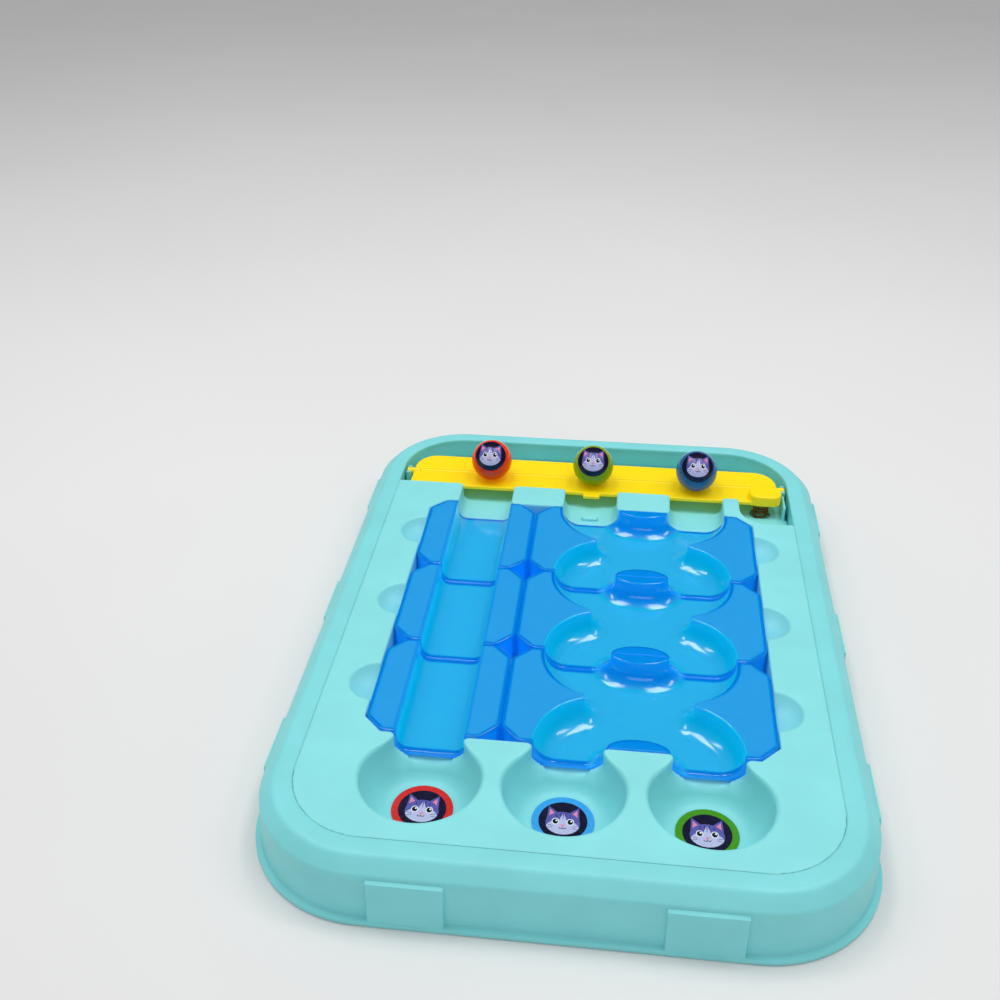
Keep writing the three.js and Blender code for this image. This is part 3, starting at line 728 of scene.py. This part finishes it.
def disc(u, v, cu, cv, ru, rv):
    """Distance-like field of an ellipse."""
    return (np.hypot((u - cu) / ru, (v - cv) / rv) - 1) * min(ru, rv)


def triangle(u, v, corners):
    """Distance-like field of a triangle given anticlockwise."""
    field = np.full(np.shape(u), -9.0)
    for (au, av), (bu, bv) in zip(corners, corners[1:] + corners[:1]):
        length = math.hypot(bu - au, bv - av)
        field = np.maximum(field, ((bv - av) * (u - au) - (bu - au) * (v - av)) / length)
    return field


def stroke(u, v, start, end, width):
    """Distance from a line with round ends."""
    (au, av), (bu, bv) = start, end
    du, dv = bu - au, bv - av
    t = np.clip(((u - au) * du + (v - av) * dv) / (du * du + dv * dv), 0, 1)
    return np.hypot(u - au - t * du, v - av - t * dv) - width


def smile(u, v, side):
    """Half of the mouth: the lower part of a thin ring."""
    ring = np.abs(np.hypot(u - 0.075 * side, v + 0.36) - 0.075) - 0.018
    return np.maximum(ring, v + 0.36)


def cat_layers(u, v):
    """The printed shapes from back to front, as (field, colour): a plain cartoon cat's head.

    u and v are shares of the navy disc's radius, from its middle."""
    layers = [(np.full(np.shape(u), -1.0), NAVY)]
    m = np.abs(u)
    ear = triangle(m, v, [(0.20, 0.34), (0.66, 0.12), (0.62, 0.70)]) - 0.06
    inner_ear = triangle(m, v, [(0.36, 0.36), (0.60, 0.24), (0.58, 0.58)]) - 0.03
    head = disc(u, v, 0, -0.12, 0.76, 0.64)
    layers += [(ear, FUR), (inner_ear, PINK), (head, FUR)]
    blaze = triangle(m, v, [(-0.4, 0.42), (0.02, 0.42), (0.16, 0.02)])
    blaze = np.minimum(triangle(m, v, [(-0.01, -0.3), (0.26, -0.2), (0.03, 0.40)]), blaze + 1)
    cheeks = np.maximum(disc(u, v, 0, -0.36, 0.72, 0.42), head)
    muzzle = np.minimum(cheeks, np.maximum(blaze, head))
    layers.append((muzzle, PALE_FUR))
    for height, reach in ((0.44, 0.10), (0.36, 0.30)):
        layers.append((stroke(m, v, (reach, height), (reach + 0.02, height - 0.16), 0.026), STRIPE))
    eye_u, eye_v = 0.33, -0.04
    layers.append((disc(m, v, eye_u, eye_v, 0.165, 0.185), WHITE))
    layers.append((disc(m, v, eye_u, eye_v, 0.125, 0.145), INK))
    layers.append((disc(u, v, eye_u + 0.045, eye_v + 0.05, 0.045, 0.05), WHITE))
    layers.append((disc(u, v, 0.045 - eye_u, eye_v + 0.05, 0.045, 0.05), WHITE))
    nose = triangle(u, v, [(0, -0.33), (0.07, -0.23), (-0.07, -0.23)]) - 0.025
    layers.append((nose, PINK))
    layers.append((np.minimum(smile(u, v, 1), smile(u, v, -1)), INK))
    for rise in (0.0, 0.10):
        layers.append((stroke(m, v, (0.44, -0.30 - rise * 0.8), (0.64, -0.25 - rise * 1.6), 0.012), INK))
    return layers


def paint_print(piece, u, v, ring=None):
    """Stores the print's colour at each vertex. ring is (inner radius, colour) of a coloured border."""
    colour = np.zeros((len(u), 4))
    colour[:, 3] = 1
    scale = HEAD_SHARE if ring is None else HEAD_SHARE * ring[0]
    for field, paint in cat_layers(u / scale, v / scale):
        colour[field < 0, :3] = paint
    if ring is not None:
        colour[np.hypot(u, v) > ring[0], :3] = ring[1]
    layer = piece.data.color_attributes.new("print", "FLOAT_COLOR", "POINT")
    layer.data.foreach_set("color", colour.astype(np.float32).ravel())


# ---------- balls and stickers ----------
RING_SHARE = 0.78
STICKER_AROUND = 240


def polar_grid(profile, around):
    """Rings about +Z, from a pole outwards: profile holds (radius, height) and starts at the pole."""
    verts = [(0.0, 0.0, profile[0][1])]
    turn = np.linspace(0, 2 * math.pi, around, endpoint=False)
    for r, z in profile[1:]:
        verts += np.stack([r * np.cos(turn), r * np.sin(turn), np.full(around, z)], 1).tolist()
    pairs = [(k, (k + 1) % around) for k in range(around)]
    faces = [(0, 1 + a, 1 + b) for a, b in pairs]
    for row in range(len(profile) - 2):
        near, far = 1 + row * around, 1 + (row + 1) * around
        faces += [(near + a, far + a, far + b, near + b) for a, b in pairs]
    return np.array(verts), faces


def dome(radius, profile, around):
    """A grid on a ball: profile holds (angle from the pole, share of the radius)."""
    outline = [(radius * share * math.sin(a), radius * share * math.cos(a)) for a, share in profile]
    return polar_grid(outline, around)


def object_from(name, verts, faces):
    mesh = bpy.data.meshes.new(name)
    mesh.from_pydata((np.asarray(verts) * MM).tolist(), [], faces)
    piece = bpy.data.objects.new(name, mesh)
    bpy.context.scene.collection.objects.link(piece)
    return piece


def make_ball(colour, column):
    """The ball's shell with a fine groove round the face, and the printed face cap let into it."""
    edge = math.asin(FACE_RADIUS / BALL_RADIUS)
    groove = 0.022
    tilt = Matrix.Rotation(math.radians(90 - FACE_TILT), 4, "X")
    place = Matrix.Translation(Vector((column, BALL_Y, BALL_Z)) * MM) @ tilt
    skin_profile = [(0.0, 0.6), (edge - 1.5 * groove, 0.9), (edge - groove, 0.965)]
    skin_profile += [(edge - groove * 0.6, 0.985), (edge, 0.9975), (edge + groove, 1.0)]
    skin_profile += [(a, 1.0) for a in np.linspace(edge + 2 * groove, math.pi - 0.02, 70)]
    verts, faces = dome(BALL_RADIUS, skin_profile + [(math.pi, 1.0)], 128)
    shell = object_from(f"ball_{colour}_skin", verts, faces)
    fix_outward(shell)
    shell.data.transform(place)
    smooth_by_angle(shell, 40)
    cap_profile = [(a, 0.998) for a in np.linspace(0, edge - 2.2 * groove, 110)]
    cap_profile += [(edge - 1.5 * groove, 0.992), (edge - 1.1 * groove, 0.978), (edge - 1.1 * groove, 0.93)]
    cap_profile += [(0.0001, 0.62)]
    verts, faces = dome(BALL_RADIUS, cap_profile, 220)
    face = object_from(f"ball_{colour}_print", verts, faces)
    fix_outward(face)
    paint_print(face, verts[:, 0] / FACE_RADIUS, verts[:, 1] / FACE_RADIUS)
    face.data.transform(place)
    smooth_by_angle(face, 40)
    return shell, face


def make_sticker(colour, ink):
    """A thin printed disc with a turned-down edge."""
    low, high = node_box(f"sticker_{colour}")
    radius = float(high[0] - low[0]) / 2
    thick = float(high[2] - low[2])
    centre = Vector((float(low[0] + high[0]) / 2, float(low[1] + high[1]) / 2, float(low[2])))
    rings = [(r, thick) for r in np.linspace(0, radius - 0.12, 120)]
    rings += [(radius - 0.03, thick - 0.04), (radius, thick - 0.15), (radius, 0.0), (0.001, 0.0)]
    verts, faces = polar_grid(rings, STICKER_AROUND)
    piece = object_from(f"sticker_{colour}_print", verts, faces)
    fix_outward(piece)
    paint_print(piece, verts[:, 0] / radius, verts[:, 1] / radius, (RING_SHARE, ink))
    piece.data.transform(Matrix.Translation(centre * MM))
    return smooth_by_angle(piece, 40)


# ---------- materials ----------
NOISE_LOW, NOISE_HIGH = 0.3, 0.7


class Nodes:
    """A material under construction."""

    def __init__(self, name):
        self.material = bpy.data.materials.new(name)
        self.material.use_nodes = True
        self.tree = self.material.node_tree
        self.shader = self.tree.nodes["Principled BSDF"]

    def add(self, kind, **settings):
        node = self.tree.nodes.new(kind)
        for key, value in settings.items():
            setattr(node, key, value)
        return node

    def link(self, source, target):
        self.tree.links.new(source, target)

    def set(self, **values):
        for key, value in values.items():
            self.shader.inputs[key.replace("_", " ")].default_value = value

    def position(self, scale):
        """Object coordinates in metres, multiplied by a scale."""
        mapping = self.add("ShaderNodeMapping")
        mapping.inputs["Scale"].default_value = (scale,) * 3
        self.link(self.add("ShaderNodeTexCoord").outputs["Object"], mapping.inputs["Vector"])
        return mapping.outputs["Vector"]

    def noise(self, scale, detail=3.0):
        noise = self.add("ShaderNodeTexNoise")
        noise.inputs["Scale"].default_value = 1.0
        noise.inputs["Detail"].default_value = detail
        self.link(self.position(scale), noise.inputs["Vector"])
        return noise.outputs["Fac"]

    def ramp(self, source, stops):
        ramp = self.add("ShaderNodeValToRGB")
        elements = ramp.color_ramp.elements
        while len(elements) < len(stops):
            elements.new(0.5)
        for element, (at, colour) in zip(elements, stops):
            element.position = at
            element.color = (*colour, 1)
        self.link(source, ramp.inputs["Fac"])
        return ramp.outputs["Color"]

    def mottle(self, scale, detail, darker, lighter):
        """Lets the base colour drift between two shades."""
        stops = [(NOISE_LOW, darker), (NOISE_HIGH, lighter)]
        self.link(self.ramp(self.noise(scale, detail), stops), self.shader.inputs["Base Color"])

    def uneven_gloss(self, scale, detail, smooth, rough):
        """Lets the roughness drift between two values."""
        fit = self.add("ShaderNodeMapRange")
        ends = {"From Min": NOISE_LOW, "From Max": NOISE_HIGH, "To Min": smooth, "To Max": rough}
        for key, value in ends.items():
            fit.inputs[key].default_value = value
        self.link(self.noise(scale, detail), fit.inputs["Value"])
        self.link(fit.outputs["Result"], self.shader.inputs["Roughness"])

    def grain(self, scale, detail, depth):
        """A fine bump, with its depth in metres."""
        bump = self.add("ShaderNodeBump")
        bump.inputs["Distance"].default_value = depth
        bump.inputs["Strength"].default_value = 1.0
        self.link(self.noise(scale, detail), bump.inputs["Height"])
        self.link(bump.outputs["Normal"], self.shader.inputs["Normal"])


def moulded_plastic(name, colour, rough=0.38, grain=0.00004, scatter=0.12, spread=0.035, painted_warm_glow=None):
    """Injection-moulded plastic: spark-eroded grain, slight flow marks and uneven gloss.

    The last argument is the (colour, strength) of a painted glow, emission in place of the light that a
    bright plastic carries inside it."""
    nodes = Nodes(name)
    darker = tuple(c * (1 - spread) for c in colour)
    lighter = tuple(min(1, c * (1 + spread)) for c in colour)
    nodes.mottle(45, 2, darker, lighter)
    nodes.uneven_gloss(240, 4, rough - 0.05, rough + 0.06)
    nodes.grain(2600, 2, grain)
    nodes.set(IOR=1.45, Subsurface_Weight=scatter, Subsurface_Radius=(0.002, 0.004, 0.004),
              Subsurface_Scale=1.0)
    # Painted glow: a little emission of the given colour, though the plastic is no lamp.
    if painted_warm_glow:
        nodes.set(Emission_Color=(*painted_warm_glow[0], 1), Emission_Strength=painted_warm_glow[1])
    return nodes.material


def tinted_tile(name):
    """Translucent blue polystyrene: its colour deepens at edges and walls, partly where more plastic shows
    and partly as painted shade; its walls carry a painted glow.
    """
    nodes = Nodes(name)
    depth_and_shade = nodes.add("ShaderNodeAttribute", attribute_name="depth_and_shade").outputs["Fac"]
    # From the lightest floors to the deepest outlines: partly real depth of colour, partly painted shade.
    stops = [(0.0, linear(50, 190, 242)), (0.25, linear(0, 192, 238)), (0.5, linear(48, 170, 238)),
             (0.75, linear(0, 150, 238)), (1.0, linear(0, 122, 216))]
    colour = nodes.ramp(depth_and_shade, stops)
    nodes.link(colour, nodes.shader.inputs["Base Color"])
    # Painted glow: the tile emits its own colour, as strongly as the stored glow asks.
    nodes.link(colour, nodes.shader.inputs["Emission Color"])
    painted_glow = nodes.add("ShaderNodeAttribute", attribute_name="painted_glow").outputs["Fac"]
    nodes.link(painted_glow, nodes.shader.inputs["Emission Strength"])
    nodes.uneven_gloss(180, 3, 0.11, 0.17)
    nodes.grain(900, 2, 0.00003)
    nodes.set(IOR=1.59, Subsurface_Weight=0.8, Subsurface_Radius=(0.0005, 0.002, 0.003), Subsurface_Scale=1.0,
              Coat_Weight=0.5, Coat_Roughness=0.08)
    return nodes.material


def glossy_ball(name, colour):
    nodes = Nodes(name)
    nodes.mottle(70, 2, tuple(c * 0.82 for c in colour), colour)
    nodes.uneven_gloss(400, 3, 0.1, 0.2)
    nodes.grain(1500, 2, 0.000015)
    nodes.set(IOR=1.4, Coat_Weight=0.1, Coat_Roughness=0.05, Subsurface_Weight=0.1,
              Subsurface_Radius=(0.003, 0.003, 0.003), Subsurface_Scale=1.0)
    return nodes.material


def printed_gloss(name):
    """Ink under a clear film, coloured by the mesh's print."""
    nodes = Nodes(name)
    colour = nodes.add("ShaderNodeAttribute", attribute_name="print").outputs["Color"]
    nodes.link(colour, nodes.shader.inputs["Base Color"])
    nodes.uneven_gloss(500, 3, 0.22, 0.32)
    nodes.grain(1200, 2, 0.00001)
    nodes.set(IOR=1.4, Coat_Weight=0.25, Coat_Roughness=0.12)
    return nodes.material


def plated_metal(name, colour, rough=0.28):
    nodes = Nodes(name)
    nodes.mottle(900, 4, tuple(c * 0.7 for c in colour), colour)
    nodes.uneven_gloss(1500, 3, rough - 0.08, rough + 0.12)
    nodes.grain(3000, 3, 0.00002)
    nodes.set(Metallic=1.0)
    return nodes.material


# ---------- assembly ----------
def dress(piece, material, body, slot, *nodes):
    """Gives a piece its material and its moving body, and hides the CAD nodes it stands for; its finish slot
    is not used.
    """
    piece.data.materials.clear()
    piece.data.materials.append(material)
    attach(piece, body)
    if nodes:
        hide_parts(*nodes)


def copy_to(piece, name, x, y):
    """A copy of a piece and its mesh, moved by millimetres in plan."""
    copy = bpy.data.objects.new(name, piece.data.copy())
    copy.data.transform(Matrix.Translation(Vector((x, y, 0)) * MM))
    bpy.context.scene.collection.objects.link(copy)
    return copy


deck_plastic = moulded_plastic("teal_deck_plastic", linear(143, 232, 235), 0.4, scatter=0.25)
frame_plastic = moulded_plastic("teal_frame_plastic", linear(134, 225, 229), 0.42)
base_plastic = moulded_plastic("teal_base_plastic", linear(132, 222, 220), 0.5, 0.00006)
# Painted glow: the lever and legs emit a little orange, which brightens their yellow and warms its shade.
yellow_plastic = moulded_plastic("yellow_lever_plastic", linear(255, 226, 0), 0.36, 0.00002, 0.1, 0.02,
                                 painted_warm_glow=(linear(255, 186, 0), 0.13))
tile_plastic = tinted_tile("blue_tile_plastic")
print_gloss = printed_gloss("printed_face_gloss")
spring_metal = plated_metal("copper_spring_wire", linear(170, 112, 68))
screw_metal = plated_metal("zinc_screw_steel", linear(196, 198, 202))

dress(make_frame(), frame_plastic, "case", "teal_frame", "outer_frame")
dress(make_deck(), deck_plastic, "case", "teal_deck", "play_deck")
dress(make_lever(), yellow_plastic, "lever", "yellow_plastic", "release_lever")

for kind, width, air_field, centre in (("straight", PITCH, straight_air, -PITCH),
                                       ("cross", 2 * PITCH, cross_air, PITCH / 2)):
    pattern = make_tile(kind, width, air_field)
    tile_depth_and_shade(pattern, width, air_field)
    for index, row in enumerate(tile_rows, 1):
        tile = copy_to(pattern, f"{kind}_tile_{index}_moulding", centre, row)
        dress(tile, tile_plastic, f"{kind}_tile_{index}_body", "tile_blue", f"{kind}_tile_{index}")
    bpy.data.objects.remove(pattern)

ball_paints = {"red": linear(255, 62, 20), "green": linear(142, 176, 12), "blue": linear(30, 106, 166)}
for column, (colour, paint) in zip(COLUMNS, ball_paints.items()):
    shell, face = make_ball(colour, column)
    dress(shell, glossy_ball(f"{colour}_ball_plastic", paint), f"ball_{colour}", f"ball_{colour}",
          f"ball_{colour}_shell")
    dress(face, print_gloss, f"ball_{colour}", "face_print", f"ball_{colour}_face")

ring_inks = {"red": linear(226, 44, 40), "blue": linear(58, 168, 240), "green": linear(74, 154, 26)}
for colour, ink in ring_inks.items():
    dress(make_sticker(colour, ink), print_gloss, "case", f"sticker_{colour}", f"sticker_{colour}")

for side in ("left", "right"):
    dress(make_leg(side), yellow_plastic, f"leg_{side}_body", "yellow_plastic", f"leg_{side}")

spring = make_spring()
dress(spring, spring_metal, "case", "spring_wire", "return_spring")
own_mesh(spring)

for name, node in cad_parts.items():
    if name.startswith("base_"):
        node.data.materials.clear()
        node.data.materials.append(base_plastic if name == "base_cover" else screw_metal)


# ---------- floor, light and camera ----------
def make_floor():
    """A pale sheet of paper, just below the case so that the two faces don't coincide."""
    floor = bpy.data.objects.new("floor", bpy.data.meshes.new("floor"))
    size, drop = 6.0, 0.0002
    corners = [(-size, -size, -drop), (size, -size, -drop), (size, size, -drop), (-size, size, -drop)]
    floor.data.from_pydata(corners, [], [(0, 1, 2, 3)])
    bpy.context.scene.collection.objects.link(floor)
    paper = Nodes("floor_paper")
    paper.mottle(3, 2, (0.80, 0.80, 0.80), (0.83, 0.83, 0.83))
    paper.set(Roughness=0.9)
    floor.data.materials.append(paper.material)


def area_light(name, place, target, size, watts):
    """A rectangular softbox. Places and sizes are in metres."""
    light = bpy.data.lights.new(name, "AREA")
    light.shape = "RECTANGLE"
    light.size, light.size_y = size
    light.energy = watts
    lamp = bpy.data.objects.new(name, light)
    lamp.location = place
    lamp.rotation_euler = (Vector(target) - Vector(place)).to_track_quat("-Z", "Y").to_euler()
    bpy.context.scene.collection.objects.link(lamp)


def make_camera():
    """A camera in front of the case and above it, turned slightly to the left."""
    camera = bpy.data.cameras.new("camera")
    camera.sensor_width = 36.0
    camera.lens = 40.8
    camera.clip_start, camera.clip_end = 0.01, 20
    eye = bpy.data.objects.new("camera", camera)
    pitch, yaw, roll = 1.0052, 0.0046, 0.1167
    turn = Matrix.Rotation(roll, 3, "Z") @ Matrix.Rotation(yaw, 3, "Y") @ Matrix.Rotation(pitch, 3, "X")
    eye.matrix_world = Matrix.Translation(Vector((12.0, -392.6, 327.6)) * MM) @ turn.to_4x4()
    bpy.context.scene.collection.objects.link(eye)
    bpy.context.scene.camera = eye


def make_world():
    world = bpy.data.worlds.new("studio")
    world.use_nodes = True
    world.node_tree.nodes["Background"].inputs["Color"].default_value = (1, 1, 1, 1)
    world.node_tree.nodes["Background"].inputs["Strength"].default_value = 0.47
    world.cycles_visibility.glossy = False
    bpy.context.scene.world = world
    bpy.context.scene.view_settings.view_transform = "Standard"


make_floor()
make_world()
for side, name in ((-1, "left"), (1, "right")):
    area_light(f"inner_softbox_{name}", (side * 0.27, 0.12, 1.05), (side * 0.27, 0.12, 0), (0.24, 0.6), 2.75)
    area_light(f"outer_softbox_{name}", (side * 0.75, 0.12, 1.0), (side * 0.3, 0.12, 0), (0.16, 0.4), 1.1)
area_light("front_panel", (0.1, -1.1, 0.8), (0, 0, 0), (0.9, 0.3), 1.0)
make_camera()
